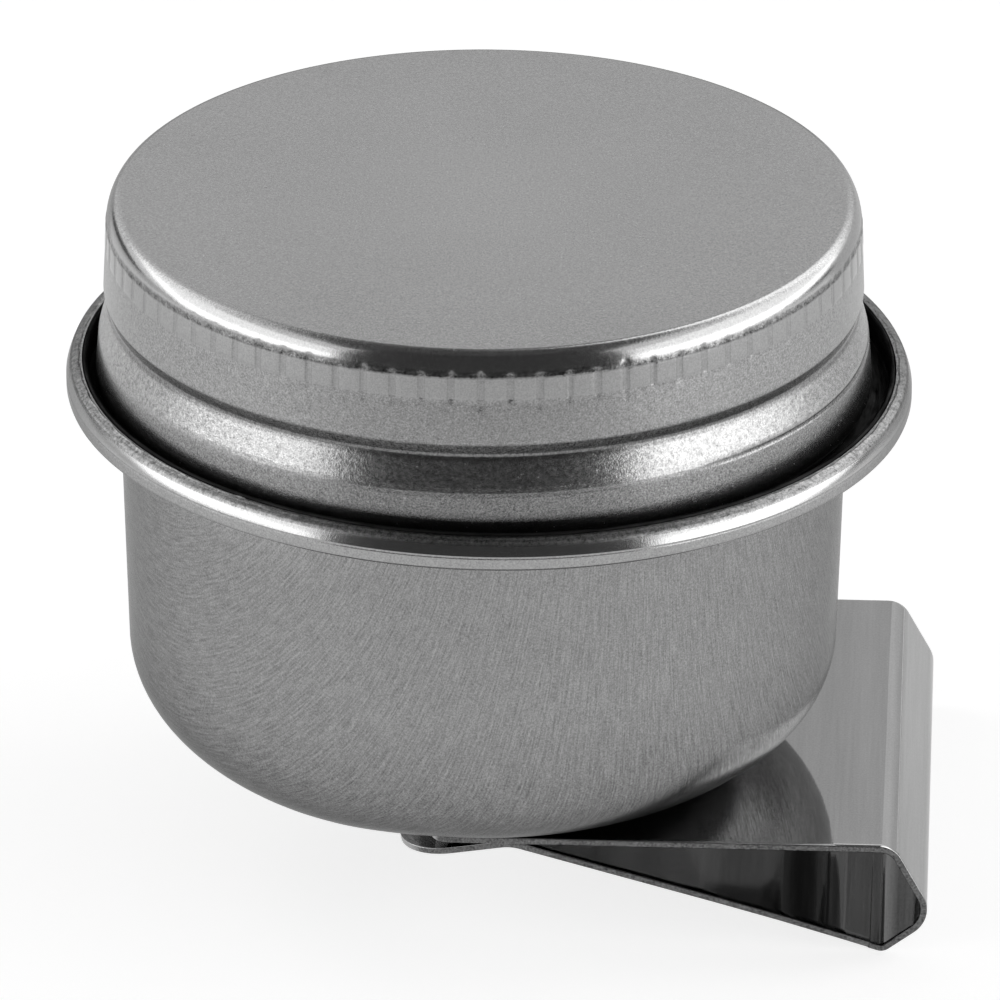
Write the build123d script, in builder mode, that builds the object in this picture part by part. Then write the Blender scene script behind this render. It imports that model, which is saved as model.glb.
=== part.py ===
from build123d import *
import os
from math import hypot

os.makedirs("parts", exist_ok=True)

# A palette cup: a sheet steel bowl with a crimped rim, a threaded neck, a screw lid with its liner,
# and a spring clip under the base. Millimetres. +Z runs up the bowl's axis and +X runs along the clip,
# towards its closed end. The origin is on the axis, on the underside of the clip's top plate,
# which is the face that lies on the palette.

# sheet thicknesses
strip = 0.35
bowl_sheet = 0.35
neck_sheet = 0.25
lid_sheet = 0.30

# bowl, heights from the outside of its base
base_z = strip
base_flat_r = 9.0
corner_height = 6.7
wall_low_r = 18.62
wall_top_r = 19.0
gutter_z = 20.12
gutter_bend = 0.5
bead_r = 22.04
bead_fold_z = 22.16
bead_shoulder_z = 21.54
bead_skirt_low_z = 20.50
bead_inner_r = 21.17
fold_bend = 0.19
bead_shoulder_bend = 0.72

# neck, standing inside the lid
neck_r = 18.75
neck_top_z = 30.0
lip_roll = 0.40
flange_r = 21.17
flange_top_z = 22.14
foot_bend = 0.5

# screw thread shared by the neck and the lid, right handed
pitch = 2.4
thread_root = 0.12
neck_crest_r = 19.08
neck_thread_low_z = 22.6
neck_thread_turns = 2.4
lid_crest_r = 18.92
lid_thread_low_z = 26.6
lid_thread_turns = 1.1
thread_base = 0.9
thread_tip = 0.4

# lid, heights from the outside of the bowl's base
lid_top_z = 31.32
lid_flat_r = 18.8
shoulder_drop = 1.42
shoulder_r = 19.6
skirt_r = 19.76
skirt_low_z = 26.45
ring_groove_r = 19.50
ring_groove_z = 25.7
flare_r = 20.05
flare_low_z = 23.8
hem_r = 20.25
hem_low_z = 20.95
hem_roll = 0.25
hem_curl = 230
skirt_bend = 0.30
ring_bend = 0.50
flare_bend = 2.5
notch_count = 82
notch_r = 0.16
notch_top_z = 30.2
notch_low_z = 28.3
notch_depth = 0.10

# liner
liner_r = 18.45
liner_thick = 1.0

# spring clip, bent from one strip: corners of its middle line in the XZ plane
clip_width = 29.0
clip_shift = 2.7
plate_end_x = -2.2
plate_bend_x = 21.86
outer_x = 24.0
outer_z = -3.71
heel_x = 21.46
heel_z = -5.65
bow_x = 16.1
bow_z = -4.0
pinch_x = 2.0
pinch_z = -0.19
lip_end_x = -3.9
lip_end_z = -1.1
plate_bend = 1.12
outer_bend = 1.5
heel_bend = 0.48
leaf_bow = 200.0
pinch_bend = 2.5
plate_corner = 1.0
lip_corner = 2.8
leaf_taper = 0.4
parting_from_heel = 0.75

# four spot welds between the clip and the bowl's base
weld_x = 2.5
weld_spacing_x = 6.0
weld_spacing_y = 8.0
weld_r = 1.1
weld_depth = 0.06


def helix_ridge(radius, low_z, turns, inward, start_angle=0):
    """Make the ridge of a rolled thread on a cylinder, standing outward or inward."""
    crest = lid_crest_r if inward else neck_crest_r
    side = -1 if inward else 1
    height = abs(crest - radius)
    path = Helix(pitch=pitch, height=pitch * turns, radius=radius, center=(0, 0, low_z))
    with BuildPart(mode=Mode.PRIVATE) as ridge:
        with BuildSketch(Plane(origin=(radius, 0, low_z), x_dir=(1, 0, 0), z_dir=(0, -1, 0))):
            with BuildLine():
                Polyline(
                    (-side * thread_root, -thread_base / 2),
                    (side * height, -thread_tip / 2),
                    (side * height, thread_tip / 2),
                    (-side * thread_root, thread_base / 2),
                    close=True,
                )
            make_face()
        sweep(path=path, is_frenet=True)
    return ridge.part.rotate(Axis.Z, start_angle)


# bowl: drawn cup, flared at the top into a gutter and folded over into a bead
bowl_half = bowl_sheet / 2
with BuildPart() as cup_bowl:
    with BuildSketch(Plane.XZ) as bowl_profile:
        with BuildLine():
            corner_top = base_z + corner_height
            Line((0, base_z + bowl_half), (base_flat_r, base_z + bowl_half))
            EllipticalCenterArc(
                (base_flat_r, corner_top),
                wall_low_r - base_flat_r - bowl_half,
                corner_height - bowl_half,
                start_angle=270,
                arc_size=90,
            )
            FilletPolyline(
                (wall_low_r - bowl_half, corner_top),
                (wall_top_r - bowl_half, base_z + gutter_z + bowl_half),
                (bead_inner_r + bowl_half, base_z + gutter_z + bowl_half),
                (bead_inner_r + bowl_half, base_z + bead_fold_z),
                (bead_r - bowl_half, base_z + bead_shoulder_z),
                (bead_r - bowl_half, base_z + bead_skirt_low_z),
                radius=[gutter_bend, fold_bend, fold_bend, bead_shoulder_bend],
            )
        trace(line_width=bowl_sheet)
    revolve(axis=Axis.Z)
    with Locations((weld_x, 0, base_z + bowl_sheet)):
        with GridLocations(weld_spacing_x, weld_spacing_y, 2, 2):
            Cylinder(weld_r, 2 * weld_depth, mode=Mode.SUBTRACT)
cup_bowl.part.label = "cup_bowl"
export_step(cup_bowl.part, "parts/cup_bowl.step")

# neck: collar with a rolled lip, an outside thread and a flange held beside the bowl's fold
neck_half = neck_sheet / 2
with BuildPart() as neck_ring:
    with BuildSketch(Plane.XZ) as neck_profile:
        with BuildLine():
            flange_z = base_z + gutter_z + bowl_sheet + neck_half
            lip_z = base_z + neck_top_z - neck_half - lip_roll
            FilletPolyline(
                (flange_r - neck_half, base_z + flange_top_z),
                (flange_r - neck_half, flange_z),
                (neck_r - neck_half, flange_z),
                (neck_r - neck_half, lip_z),
                radius=[fold_bend, foot_bend],
            )
            CenterArc((neck_r - neck_half - lip_roll, lip_z), lip_roll, 0, 200)
        trace(line_width=neck_sheet)
    revolve(axis=Axis.Z)
    add(helix_ridge(neck_r, base_z + neck_thread_low_z, neck_thread_turns, inward=False))
neck_ring.part.label = "neck_ring"
export_step(neck_ring.part, "parts/neck_ring.step")

# lid: pressed cap with a notched grip band, a rolled ring, a flare and a rolled hem
lid_half = lid_sheet / 2
with BuildPart() as lid_shell:
    with BuildSketch(Plane.XZ) as lid_profile:
        with BuildLine():
            shoulder_z = base_z + lid_top_z - shoulder_drop
            hem_curl_z = base_z + hem_low_z + lid_half + hem_roll
            Line((0, base_z + lid_top_z - lid_half), (lid_flat_r, base_z + lid_top_z - lid_half))
            EllipticalCenterArc(
                (lid_flat_r, shoulder_z),
                shoulder_r - lid_flat_r - lid_half,
                shoulder_drop - lid_half,
                start_angle=0,
                arc_size=90,
            )
            FilletPolyline(
                (shoulder_r - lid_half, shoulder_z),
                (skirt_r - lid_half, base_z + skirt_low_z),
                (ring_groove_r - lid_half, base_z + ring_groove_z),
                (flare_r - lid_half, base_z + flare_low_z),
                (hem_r - lid_half, hem_curl_z),
                radius=[skirt_bend, ring_bend, flare_bend],
            )
            CenterArc((hem_r - lid_half - hem_roll, hem_curl_z), hem_roll, 0, -hem_curl)
        trace(line_width=lid_sheet)
    revolve(axis=Axis.Z)
    notch_mid = base_z + (notch_top_z + notch_low_z) / 2
    notch_ring = (shoulder_r + skirt_r) / 2 + notch_r - notch_depth
    with Locations((0, 0, notch_mid)):
        with PolarLocations(notch_ring, notch_count):
            Cylinder(notch_r, notch_top_z - notch_low_z, mode=Mode.SUBTRACT)
    lid_thread_wall = (shoulder_r + skirt_r) / 2 - lid_sheet
    half_turn = 180 + 360 * (lid_thread_low_z - neck_thread_low_z) / pitch
    add(helix_ridge(lid_thread_wall, base_z + lid_thread_low_z, lid_thread_turns, True, half_turn))
lid_shell.part.label = "lid_shell"
export_step(lid_shell.part, "parts/lid_shell.step")

# liner: soft disc under the lid's top, over the neck's lip
with BuildPart() as lid_liner:
    with BuildSketch(Plane.XY.offset(base_z + lid_top_z - lid_sheet - liner_thick)):
        Circle(liner_r)
    extrude(amount=liner_thick)
lid_liner.part.label = "lid_liner"
export_step(lid_liner.part, "parts/lid_liner.step")

# clip: the top plate with its bends and heel, then the lower leaf with its lip, parted past the heel
leaf_run = hypot(bow_x - heel_x, bow_z - heel_z)
leaf_dir_x = (bow_x - heel_x) / leaf_run
leaf_dir_z = (bow_z - heel_z) / leaf_run
parting_x = heel_x + parting_from_heel * leaf_dir_x
parting_z = heel_z + parting_from_heel * leaf_dir_z

with BuildPart() as clip_plate:
    with BuildSketch(Plane.XZ.offset(-clip_shift)):
        with BuildLine():
            FilletPolyline(
                (plate_end_x, strip / 2),
                (plate_bend_x, strip / 2),
                (outer_x, outer_z),
                (heel_x, heel_z),
                (parting_x, parting_z),
                radius=[plate_bend, outer_bend, heel_bend],
            )
        trace(line_width=strip)
    extrude(amount=clip_width / 2, both=True)
    end_corners = clip_plate.edges().filter_by(Axis.Z).group_by(Axis.X)[0]
    fillet(end_corners, radius=plate_corner)
    with Locations((weld_x, 0, 0)):
        with GridLocations(weld_spacing_x, weld_spacing_y, 2, 2):
            Cylinder(weld_r, 2 * weld_depth, mode=Mode.SUBTRACT)
clip_plate.part.label = "clip_plate"
export_step(clip_plate.part, "parts/clip_plate.step")

with BuildPart() as clip_leaf:
    with BuildSketch(Plane.XZ.offset(-clip_shift)):
        with BuildLine():
            FilletPolyline(
                (parting_x, parting_z),
                (bow_x, bow_z),
                (pinch_x, pinch_z),
                (lip_end_x, lip_end_z),
                radius=[leaf_bow, pinch_bend],
            )
        trace(line_width=strip)
    extrude(amount=clip_width / 2, both=True)
    with BuildSketch(Plane.XY.offset(2 * heel_z)) as leaf_outline:
        with BuildLine():
            lip_half = clip_width / 2 - leaf_taper
            Polyline(
                (outer_x, clip_shift - clip_width / 2),
                (pinch_x, clip_shift - lip_half),
                (lip_end_x, clip_shift - lip_half),
                (lip_end_x, clip_shift + lip_half),
                (pinch_x, clip_shift + lip_half),
                (outer_x, clip_shift + clip_width / 2),
                close=True,
            )
        make_face()
        fillet(leaf_outline.vertices().group_by(Axis.X)[0], radius=lip_corner)
    extrude(amount=-4 * heel_z, mode=Mode.INTERSECT)
clip_leaf.part.label = "clip_leaf"
export_step(clip_leaf.part, "parts/clip_leaf.step")

# the leaf flexes about a line on its outer face at the parting
flex_x = parting_x + strip / 2 * leaf_dir_z * -1
flex_z = parting_z + strip / 2 * leaf_dir_x
print("leaf flexes about X", round(flex_x, 3), "Z", round(flex_z, 3))
print("pinch gap", round(-clip_leaf.part.bounding_box().max.Z, 3))
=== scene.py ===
import math
import bmesh
import bpy
import numpy as np
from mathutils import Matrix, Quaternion, Vector


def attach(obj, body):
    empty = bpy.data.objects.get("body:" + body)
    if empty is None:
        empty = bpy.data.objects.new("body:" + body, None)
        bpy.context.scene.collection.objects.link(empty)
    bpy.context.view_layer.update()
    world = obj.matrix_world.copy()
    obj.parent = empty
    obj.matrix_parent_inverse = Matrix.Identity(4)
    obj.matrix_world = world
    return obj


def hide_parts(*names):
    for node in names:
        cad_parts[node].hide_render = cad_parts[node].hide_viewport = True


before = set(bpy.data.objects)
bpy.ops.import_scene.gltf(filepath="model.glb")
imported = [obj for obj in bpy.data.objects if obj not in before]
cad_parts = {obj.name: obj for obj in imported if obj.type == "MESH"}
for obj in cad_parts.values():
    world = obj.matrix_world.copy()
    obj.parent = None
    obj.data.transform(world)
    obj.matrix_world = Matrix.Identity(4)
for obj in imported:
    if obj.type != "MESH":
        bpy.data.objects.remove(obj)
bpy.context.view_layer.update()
print("frame loaded:", sorted(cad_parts))

mm = 0.001
strip = 0.35            # clip strip thickness, mm; heights below are above the bowl's base
baseLift = strip        # the base stands on the clip's top plate
fineGrain = 11000       # noise scales of the steel sheet's grain
coarseGrain = 4200


# a bent line through the corners, each inner corner rounded, with close points beside the bends
def bentLine(corners, radii, arcStep=7.5, longest=0.8, holding=0.03):
    pts = [np.array(corners[0], float)]
    for before, corner, after, radius in zip(corners, corners[1:], corners[2:], radii):
        before, corner, after = (np.array(p, float) for p in (before, corner, after))
        u = (before - corner) / np.linalg.norm(before - corner)
        v = (after - corner) / np.linalg.norm(after - corner)
        half = math.acos(max(-1.0, min(1.0, float(u @ v)))) / 2
        reach = radius / math.tan(half)
        centre = corner + (u + v) / np.linalg.norm(u + v) * radius / math.sin(half)
        start, end = corner + u * reach, corner + v * reach
        a0 = math.atan2(*(start - centre)[::-1])
        turn = (math.atan2(*(end - centre)[::-1]) - a0 + math.pi) % (2 * math.pi) - math.pi
        steps = max(2, math.ceil(abs(math.degrees(turn)) / arcStep))
        for i in range(steps + 1):
            a = a0 + turn * i / steps
            pts.append(centre + radius * np.array([math.cos(a), math.sin(a)]))
    pts.append(np.array(corners[-1], float))
    return fillRuns(pts, longest, holding)


# divide the long runs, and keep a point close to each end of them
def fillRuns(pts, longest=0.8, holding=0.03):
    out = [pts[0]]
    for a, b in zip(pts, pts[1:]):
        length = np.linalg.norm(b - a)
        if length < 1e-7:
            continue
        if length > 6 * holding:
            count = max(1, math.ceil((length - 2 * holding) / longest))
            for d in np.linspace(holding, length - holding, count + 1):
                out.append(a + (b - a) * d / length)
        out.append(b)
    return out


def arcPoints(centre, radiusX, radiusZ, a0, turn, step=6):
    count = max(2, math.ceil(abs(turn) / step))
    angles = np.radians(a0 + turn * np.arange(count + 1) / count)
    return [np.array([centre[0] + radiusX * math.cos(a), centre[1] + radiusZ * math.sin(a)])
            for a in angles]


def joined(*parts):
    out = []
    for part in parts:
        for p in part:
            if not out or np.linalg.norm(p - out[-1]) > 1e-6:
                out.append(np.array(p, float))
    return out


def lineNormals(pts):
    pts = np.array(pts)
    run = np.gradient(pts, axis=0)
    run /= np.linalg.norm(run, axis=1)[:, None]
    return np.stack([run[:, 1], -run[:, 0]], axis=1)


# the same line, shorter by a length at its end
def cutEnd(pts, length):
    pts = list(pts)
    while np.linalg.norm(pts[-1] - pts[-2]) <= length:
        length -= np.linalg.norm(pts[-1] - pts[-2])
        pts.pop()
    last = pts[-2] - pts[-1]
    pts[-1] = pts[-1] + last / np.linalg.norm(last) * length
    return pts


# points round a sheet's edge, from one face to the other
def roundEdge(point, across, half):
    along = np.array([-across[1], across[0]])
    return [point + half * (across * math.cos(a) + along * math.sin(a))
            for a in np.radians([30, 60, 90, 120, 150])]


# both faces of a sheet along its middle line, with round edges where it doesn't end on the axis;
# a point's side is 1 or -1 on the faces and 0 on an edge
def sheetOutline(pts, thick, roundStart, roundEnd):
    half = thick / 2
    if roundEnd:
        pts = cutEnd(pts, half)
    if roundStart:
        pts = cutEnd(pts[::-1], half)[::-1]
    pts = np.array(pts)
    normals = lineNormals(pts)
    if not roundStart:
        normals[0] = (0, math.copysign(1, normals[0][1]))
    endEdge = roundEdge(pts[-1], normals[-1], half) if roundEnd else []
    startEdge = roundEdge(pts[0], -normals[0], half) if roundStart else []
    rows = list(pts + normals * half) + endEdge + list((pts - normals * half)[::-1]) + startEdge
    sides = [1] * len(pts) + [0] * len(endEdge) + [-1] * len(pts) + [0] * len(startEdge)
    return np.array(rows), np.array(sides)


# spin an outline round the axis; relief(angle, radius, height, side) moves its points, in mm
def spinMesh(name, rows, sides, angles, closed, relief=None):
    radius = np.repeat(rows[:, :1], len(angles), axis=1)
    height = np.repeat(rows[:, 1:], len(angles), axis=1)
    angle = np.repeat(np.array(angles)[None, :], len(rows), axis=0)
    side = np.repeat(sides[:, None], len(angles), axis=1)
    if relief:
        dr, dz = relief(angle, radius, height, side)
        radius, height = radius + dr, height + dz
    radius = np.maximum(radius, 0)
    points = np.stack([radius * np.cos(angle), radius * np.sin(angle), height + baseLift], axis=2)
    points = points.reshape(-1, 3) * mm
    count, around = len(rows), len(angles)
    first = np.arange(count if closed else count - 1)
    second = (first + 1) % count
    cols = np.arange(around)
    nextCol = (cols + 1) % around
    faces = np.stack([
        first[:, None] * around + cols[None, :],
        first[:, None] * around + nextCol[None, :],
        second[:, None] * around + nextCol[None, :],
        second[:, None] * around + cols[None, :],
    ], axis=2).reshape(-1, 4)
    return gridObject(name, points, faces)


def gridObject(name, points, faces, caps=()):
    mesh = bpy.data.meshes.new(name)
    mesh.from_pydata(points.tolist(), [], faces.tolist() + [list(cap) for cap in caps])
    piece = bpy.data.objects.new(name, mesh)
    bpy.context.scene.collection.objects.link(piece)
    shape = bmesh.new()
    shape.from_mesh(mesh)
    bmesh.ops.remove_doubles(shape, verts=shape.verts, dist=1e-7)
    bmesh.ops.recalc_face_normals(shape, faces=shape.faces)
    shape.to_mesh(mesh)
    shape.free()
    for face in mesh.polygons:
        face.use_smooth = True
    return piece


def smoothStep(low, high, value):
    t = np.clip((value - low) / (high - low), 0, 1)
    return t * t * (3 - 2 * t)


# slow waves round the axis, the slight unevenness of pressed sheet
def waves(seed, angle, height, lobes, rise):
    rng = np.random.default_rng(seed)
    out = np.zeros_like(angle)
    for lobe in lobes:
        phase, lean, tilt = rng.uniform(0, 6.283, 3)
        out += np.cos(lobe * angle + phase + lean * height * rise) * np.cos(height * rise + tilt)
    return out / len(lobes)


# the height of a rolled thread's ridge at each point
def threadRidge(angle, height, lowZ, turns, startAngle, crest, base=0.9, tip=0.4, pitch=2.4):
    out = np.zeros_like(angle)
    reach = 2 * math.pi * turns
    fade = math.radians(30)
    for turn in range(-1, math.ceil(turns) + 1):
        travel = (angle - startAngle) % (2 * math.pi) + 2 * math.pi * turn
        off = np.abs(height - (lowZ + pitch * travel / (2 * math.pi)))
        ridge = 1 - smoothStep(tip / 2, base / 2, off)
        ends = smoothStep(0, fade, travel) * (1 - smoothStep(reach - fade, reach, travel))
        out = np.maximum(out, ridge * ends)
    return out * crest


# a node with its settings, and its sockets linked or set; i0 and i1 are the first two sockets
def addNode(tree, kind, settings=None, **sockets):
    node = tree.nodes.new("ShaderNode" + kind)
    for key, value in (settings or {}).items():
        setattr(node, key, value)
    for key, value in sockets.items():
        slot = node.inputs[int(key[1])] if key in ("i0", "i1") else node.inputs[key]
        if hasattr(value, "is_output"):
            tree.links.new(value, slot)
        else:
            slot.default_value = value
    return node


def maths(tree, operation, a, b=None):
    sockets = {"i0": a} if b is None else {"i0": a, "i1": b}
    return addNode(tree, "Math", {"operation": operation}, **sockets).outputs[0]


def scaled(tree, value, factor):
    return maths(tree, "MULTIPLY", value, factor)


def total(tree, *values):
    out = values[0]
    for value in values[1:]:
        out = maths(tree, "ADD", out, value)
    return out


# 1 less the value
def without(tree, value):
    return maths(tree, "SUBTRACT", 1.0, value)


def ramp(tree, value, low, high, toLow=0.0, toHigh=1.0):
    ends = {"Value": value, "From Min": low, "From Max": high, "To Min": toLow, "To Max": toHigh}
    return addNode(tree, "MapRange", {"interpolation_type": "SMOOTHSTEP"}, **ends).outputs[0]


def newMaterial(name):
    material = bpy.data.materials.new(name)
    material.use_nodes = True
    tree = material.node_tree
    tree.nodes.clear()
    shader = addNode(tree, "BsdfPrincipled")
    out = addNode(tree, "OutputMaterial")
    tree.links.new(shader.outputs[0], out.inputs[0])
    where = addNode(tree, "TexCoord").outputs["Object"]
    return material, tree, shader, where


def noiseAt(tree, where, scale, detail=2.0, rough=0.5):
    return addNode(tree, "TexNoise", {"noise_dimensions": "3D"}, Vector=where, Scale=scale,
                   Detail=detail, Roughness=rough).outputs["Fac"]


def greyMix(tree, dark, light, amount):
    node = addNode(tree, "Mix", {"data_type": "RGBA"})
    tree.links.new(amount, node.inputs["Factor"])
    node.inputs[6].default_value = (*dark, 1)
    node.inputs[7].default_value = (*light, 1)
    return node.outputs[2]


# a noise round zero, times an amount that can be a number or a socket
def spread(tree, noise, amount):
    return scaled(tree, total(tree, noise, -0.5), amount)


def bumpFrom(tree, height, strength, distance, normal=None):
    node = addNode(tree, "Bump", Strength=strength, Distance=distance, Height=height)
    if normal is not None:
        tree.links.new(normal, node.inputs["Normal"])
    return node.outputs[0]


def tone(level):
    return (level, level, level)


# 1 between two heights above the bowl's base, with soft ends, mm
def between(tree, z, low, high, soft):
    low, high, half = (low + baseLift) * mm, (high + baseLift) * mm, soft / 2 * mm
    return scaled(tree, ramp(tree, z, low - half, low + half),
                  ramp(tree, z, high - half, high + half, 1.0, 0.0))


# the zones' masks, each times its amount, added up
def weighted(tree, zones, amounts):
    return total(tree, *[scaled(tree, zones[name], amount) for name, amount in amounts.items()])


# distance from the axis
def fromAxis(tree, x, y):
    return maths(tree, "SQRT", total(tree, scaled(tree, x, x), scaled(tree, y, y)))


# link what a steel's material works out to its shader
def finishSteel(tree, shader, toneLevel, level, rough, normal):
    colour = greyMix(tree, tone(0), tone(2 * toneLevel), level)
    tree.links.new(colour, shader.inputs["Base Color"])
    tree.links.new(rough, shader.inputs["Roughness"])
    tree.links.new(normal, shader.inputs["Normal"])
    shader.inputs["Metallic"].default_value = 1.0


# lid: a pressed cap with a notched grip band, a ring, a flare and a rolled hem
lid = dict(
    sheet=0.30, topZ=31.32, flatR=18.8, shoulderDrop=1.42, shoulderR=19.6, skirtR=19.76,
    skirtLowZ=26.45, grooveR=19.50, grooveZ=25.7, flareR=20.05, flareLowZ=23.8,
    hemR=20.25, hemLowZ=20.95, hemRoll=0.25, hemCurl=230,
    skirtBend=0.30, ringBend=0.50, flareBend=2.5,
    threadLowZ=26.6, threadTurns=1.1, threadStart=60, threadCrest=0.46,
    # grip band: every notch has its own length, depth, width, lean and place, with pads between
    notches=82, notchDepth=0.022, fingerDepth=0.035, notchHalf=0.15, bandR=19.7, bandZ=29.5,
    notchLowZ=(28.35, 28.85), notchHighZ=(30.22, 30.50), notchDeep=(0.6, 1.3),
    notchWide=(0.8, 1.25), notchLean=(-0.03, 0.03), notchShift=(-0.03, 0.03),
    padLowZ=28.86, padHighZ=30.0, padRise=0.022, padArc=0.12, padSlope=0.07,
    padUneven=(-0.05, 0.05), padShare=(0.85, 1.15),
    # a rolled line on one side of the flare, in degrees round the axis
    sideGrooveDepth=0.055, sideGrooveZ=23.72, sideGrooveAt=-25, sideGrooveHalf=0.11,
    unevenness=0.012, dish=0.03,
    # steel: zones are low and high ends with their softness, the rest are amounts in those zones
    tone=0.38, level=0.48, roughness=0.25, topTint=0.5, cloud=0.06,
    zones=dict(top=(31.28, 40, 0.06), padBand=(28.84, 30.05, 0.10), shoulder=(30.25, 31.15, 0.30),
               shoulderFoot=(30.02, 30.38, 0.16), under=(25.80, 26.38, 0.28),
               ringLine=(25.40, 25.76, 0.16), flare=(23.95, 25.40, 0.45), hem=(20.0, 23.7, 0.4),
               sideLine=(23.64, 23.86, 0.12)),
    fine=dict(coarse=0.74, top=-0.28, hem=0.16),
    grain=dict(coarse=0.28, top=-0.14, flare=0.4, shoulderFoot=0.5),
    # painted highlight and sheen: the shoulder, the flare and the flat top are painted lighter
    shades=dict(pads=0.05, top=0.085, shoulder=0.14, flare=0.05, notchSide=-0.10, sideLine=-0.20,
                # painted shade: the notch sides, the flare's side line, the shoulder's foot, the
                # band under the skirt, the ring line and the hem are painted darker
                shoulderFoot=-0.24, under=-0.25, ringLine=-0.16, hem=-0.09, speck=-0.08),
)


def lidLine():
    half = lid["sheet"] / 2
    shoulderZ = lid["topZ"] - lid["shoulderDrop"]
    curlZ = lid["hemLowZ"] + half + lid["hemRoll"]
    top = fillRuns([np.array([0, lid["topZ"] - half]),
                    np.array([lid["flatR"], lid["topZ"] - half])], longest=1.5)
    shoulder = arcPoints((lid["flatR"], shoulderZ), lid["shoulderR"] - lid["flatR"] - half,
                         lid["shoulderDrop"] - half, 90, -90, step=5)
    wall = bentLine(
        [(lid["shoulderR"] - half, shoulderZ), (lid["skirtR"] - half, lid["skirtLowZ"]),
         (lid["grooveR"] - half, lid["grooveZ"]), (lid["flareR"] - half, lid["flareLowZ"]),
         (lid["hemR"] - half, curlZ)],
        [lid["skirtBend"], lid["ringBend"], lid["flareBend"]],
        longest=0.11)
    hem = arcPoints((lid["hemR"] - half - lid["hemRoll"], curlZ), lid["hemRoll"], lid["hemRoll"],
                    0, -lid["hemCurl"], step=15)
    return joined(top, shoulder, wall, hem)


# columns of points, closest beside each notch
def lidAngles():
    share = [0, 0.03, 0.06, 0.09, 0.125, 0.17, 0.28, 0.5, 0.72, 0.83, 0.875, 0.91, 0.94, 0.97]
    step = 2 * math.pi / lid["notches"]
    return [step * (k + s) for k in range(lid["notches"]) for s in share]


def lidRelief(angle, radius, height, side):
    rng = np.random.default_rng(41)
    count = lid["notches"]
    step = 2 * math.pi / count
    which = np.round(angle / step).astype(int) % count
    gap = np.floor(angle / step).astype(int) % count
    low, high, deep, wide, lean, shift = (
        rng.uniform(*lid[key], count)[which]
        for key in ("notchLowZ", "notchHighZ", "notchDeep", "notchWide", "notchLean", "notchShift"))
    off = ((angle / step + 0.5) % 1 - 0.5) * step * lid["bandR"]
    off = off - shift - lean * (height - lid["bandZ"])
    # the notches are deeper and wider at the top
    finger = smoothStep(29.6, 30.1, height)
    half = lid["notchHalf"] * wide * (1 + 0.2 * finger)
    depth = lid["notchDepth"] + (lid["fingerDepth"] - lid["notchDepth"]) * finger
    along = smoothStep(low - 0.25, low + 0.15, height)
    along = along * (1 - smoothStep(high - 0.40, high + 0.15, height))
    groove = -depth * deep * np.exp(-(off / half) ** 2) * along
    # the pads end in an arc under the shoulder
    padLow = lid["padLowZ"] + lid["padSlope"] * np.cos(angle * 3 + 1.0)
    padLow = padLow + rng.uniform(*lid["padUneven"], count)[gap]
    padTop = lid["padHighZ"] + lid["padArc"] * (np.abs(off) / 0.75) ** 2
    pad = lid["padRise"] * rng.uniform(*lid["padShare"], count)[gap]
    pad = pad * smoothStep(0.6 * half, 1.6 * half, np.abs(off))
    pad = pad * smoothStep(padLow - 0.05, padLow + 0.05, height)
    pad = pad * (1 - smoothStep(padTop - 0.03, padTop + 0.12, height))
    slow = lid["unevenness"] * waves(5, angle, height, (3, 5, 9), 0.35) * smoothStep(20, 24, height)
    sideways = smoothStep(0.86, 0.97, np.cos(angle - math.radians(lid["sideGrooveAt"])))
    sideGroove = np.exp(-((height - lid["sideGrooveZ"]) / lid["sideGrooveHalf"]) ** 2) * sideways
    dr = np.where((side > 0) & (height < 30.9), groove + pad, 0)
    dr = dr - np.where((side > 0) & (height < 25), lid["sideGrooveDepth"] * sideGroove, 0)
    ridge = threadRidge(angle, height, lid["threadLowZ"], lid["threadTurns"],
                        math.radians(lid["threadStart"]), lid["threadCrest"])
    wall = (side < 0) & (radius > 19) & (height < 29.6) & (height > 25.5)
    dr = dr - np.where(wall, ridge, 0) + np.where(height < 30, slow, 0)
    dish = -lid["dish"] * (1 - smoothStep(2, 17.5, radius)) * (height > 30.9)
    return dr, dish


rows, sides = sheetOutline(lidLine(), lid["sheet"], False, True)
lidPiece = spinMesh("lidCap", rows, -sides, lidAngles(), False, lidRelief)
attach(lidPiece, "lid")
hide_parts("lid_shell")


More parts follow.
